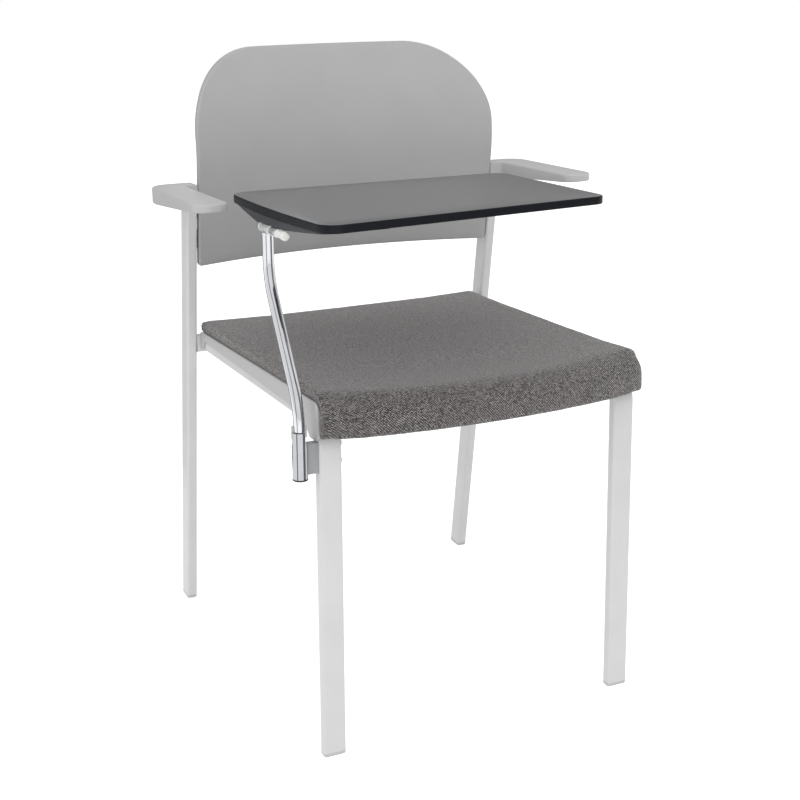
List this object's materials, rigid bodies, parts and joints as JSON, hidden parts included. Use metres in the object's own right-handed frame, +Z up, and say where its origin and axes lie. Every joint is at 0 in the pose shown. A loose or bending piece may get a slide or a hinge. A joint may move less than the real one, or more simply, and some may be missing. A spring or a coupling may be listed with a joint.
{
  "type": "tablet arm chair",
  "caption": "Armchair on a tube frame with an upholstered seat, a curved plastic back and a writing tablet that folds up and swings out on a cranked tube.",
  "frame": {"origin": "centre of the whole chair's box, at floor level", "axes": "+Z up, the sitter faces -Y, +X to the sitter's left, the tablet is at -X"},
  "size_m": [0.5872, 0.5987, 0.845],
  "materials": {
    "frame_paint": "satin light grey powder coat",
    "bracket_paint": "satin mid grey paint",
    "back_plastic": "fine-grained mid grey moulding",
    "arm_plastic": "fine-grained light grey moulding",
    "shell_plastic": "fine-grained mid grey moulding",
    "glide_plastic": "smooth grey moulding",
    "seat_fabric": "brown-grey looped upholstery fabric",
    "plywood": "bare birch plywood",
    "chrome": "polished chrome plate",
    "zinc": "zinc-plated steel",
    "nylon": "natural white nylon",
    "rubber": "black rubber",
    "cover_plastic": "fine-grained black moulding",
    "tablet_laminate": "semi-gloss black laminate with a black edge"
  },
  "bodies": {
    "frame": {"side_frame_left": "frame_paint", "side_frame_right": "frame_paint", "rear_upright_left": "frame_paint", "rear_upright_right": "frame_paint", "rear_cross_tube": "frame_paint", "front_cross_tube": "frame_paint", "back_brackets_left": "frame_paint", "back_brackets_right": "frame_paint", "front_glide_left": "glide_plastic", "front_glide_right": "glide_plastic", "rear_glide_left": "glide_plastic", "rear_glide_right": "glide_plastic", "back_panel": "back_plastic", "back_screws": "zinc", "arm_pad_left": "arm_plastic", "arm_pad_right": "arm_plastic", "arm_screws": "zinc", "seat_shell": "shell_plastic", "seat_board": "plywood", "seat_cushion": "seat_fabric", "seat_screws": "zinc", "socket_bracket": "bracket_paint", "bracket_screws": "zinc", "tablet_socket": "chrome", "socket_bush": "nylon", "socket_plug": "rubber"},
    "support_arm": {"support_tube": "chrome", "swing_collar": "glide_plastic", "hinge_head": "zinc", "stop_pad": "rubber"},
    "tablet": {"hinge_leaf": "zinc", "hinge_pin": "zinc", "pin_washers": "nylon", "pin_cap": "nylon", "leaf_screws": "zinc", "hinge_cover": "cover_plastic", "cover_screws": "zinc", "tablet_board": "tablet_laminate"}
  },
  "joints": [
    {"name": "arm_swing", "type": "hinge", "parent": "frame", "child": "support_arm", "pos_m": [-0.2475, -0.2354, 0.41], "axis": [0, 0, -1], "range_deg": [0, 60]},
    {"name": "tablet_fold", "type": "hinge", "parent": "support_arm", "child": "tablet", "pos_m": [-0.2475, -0.1458, 0.6675], "axis": [0, -0.9997, 0.0262], "range_deg": [0, 90]}
  ]
}
